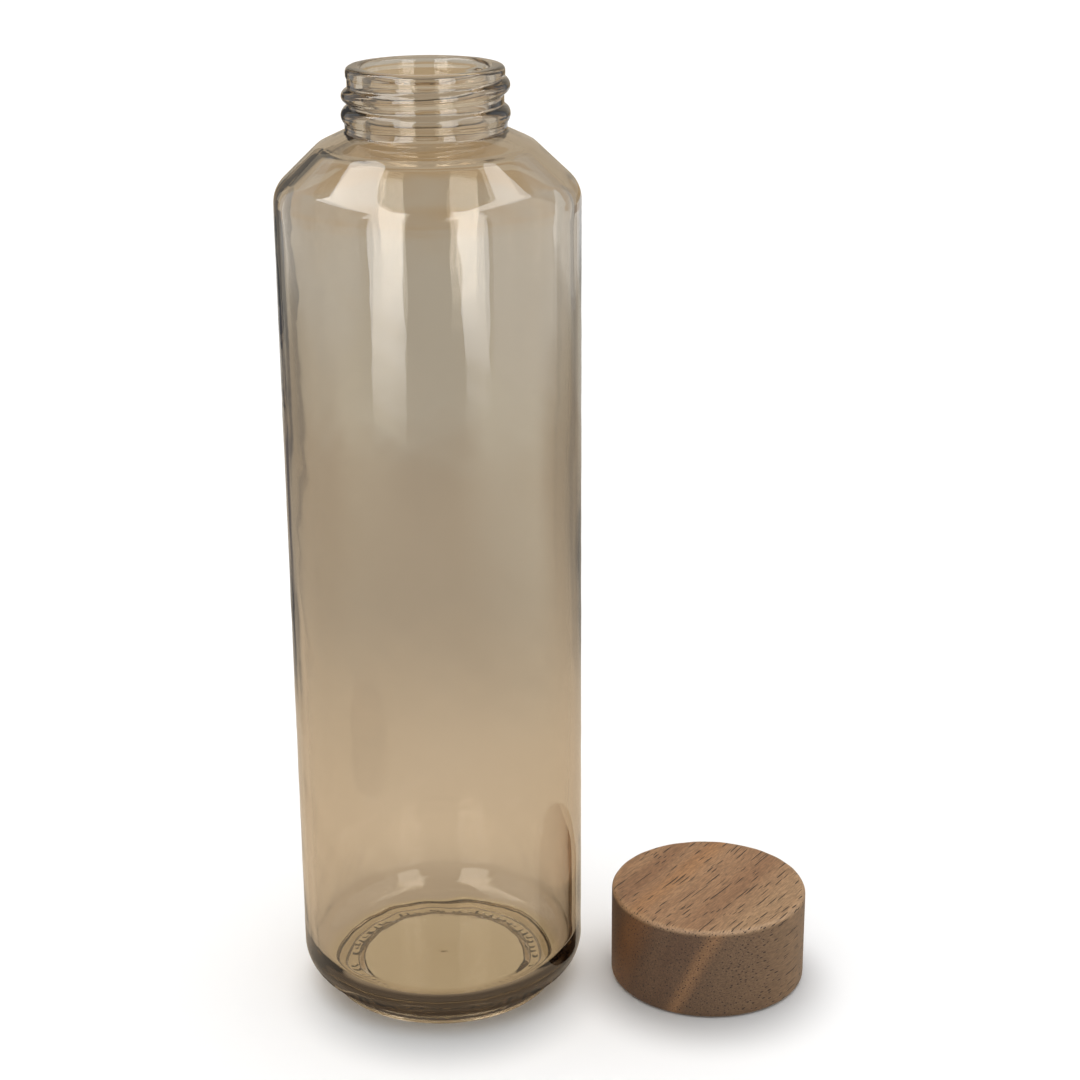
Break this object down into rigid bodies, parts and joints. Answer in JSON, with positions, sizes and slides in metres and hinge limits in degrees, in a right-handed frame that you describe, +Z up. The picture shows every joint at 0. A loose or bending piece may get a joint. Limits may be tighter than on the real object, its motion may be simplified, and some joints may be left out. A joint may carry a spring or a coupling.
{
  "type": "glass water bottle",
  "caption": "Straight-sided smoked glass water bottle with a screw neck, and its round wood cap with threaded insert and seal lying beside it.",
  "frame": {"origin": "centre of the bottle's standing face, on the surface it stands on", "axes": "+Z up along the bottle's axis to its mouth, +X from the bottle towards the cap lying beside it, +Y away from the front"},
  "size_m": [0.1247, 0.069, 0.225],
  "materials": {
    "smoked_glass": "clear smoked brown, polished",
    "cap_wood": "oiled open-grained hardwood",
    "insert_plastic": "fine moulded matt",
    "seal_silicone": "soft translucent white"
  },
  "bodies": {
    "bottle": {"glass_bottle": "smoked_glass"},
    "seal": {"silicone_seal": "seal_silicone"},
    "cap": {"wood_cap_shell": "cap_wood", "threaded_insert": "insert_plastic"}
  },
  "joints": [
    {"name": "cap_lift", "type": "slide", "parent": "bottle", "child": "seal", "axis": [0, 0, 1], "range_m": [0, 0.24]},
    {"name": "cap_turn", "type": "hinge", "parent": "seal", "child": "cap", "pos_m": [0.0662, 0, 0.0145], "axis": [0, 0, 1], "continuous": true}
  ]
}
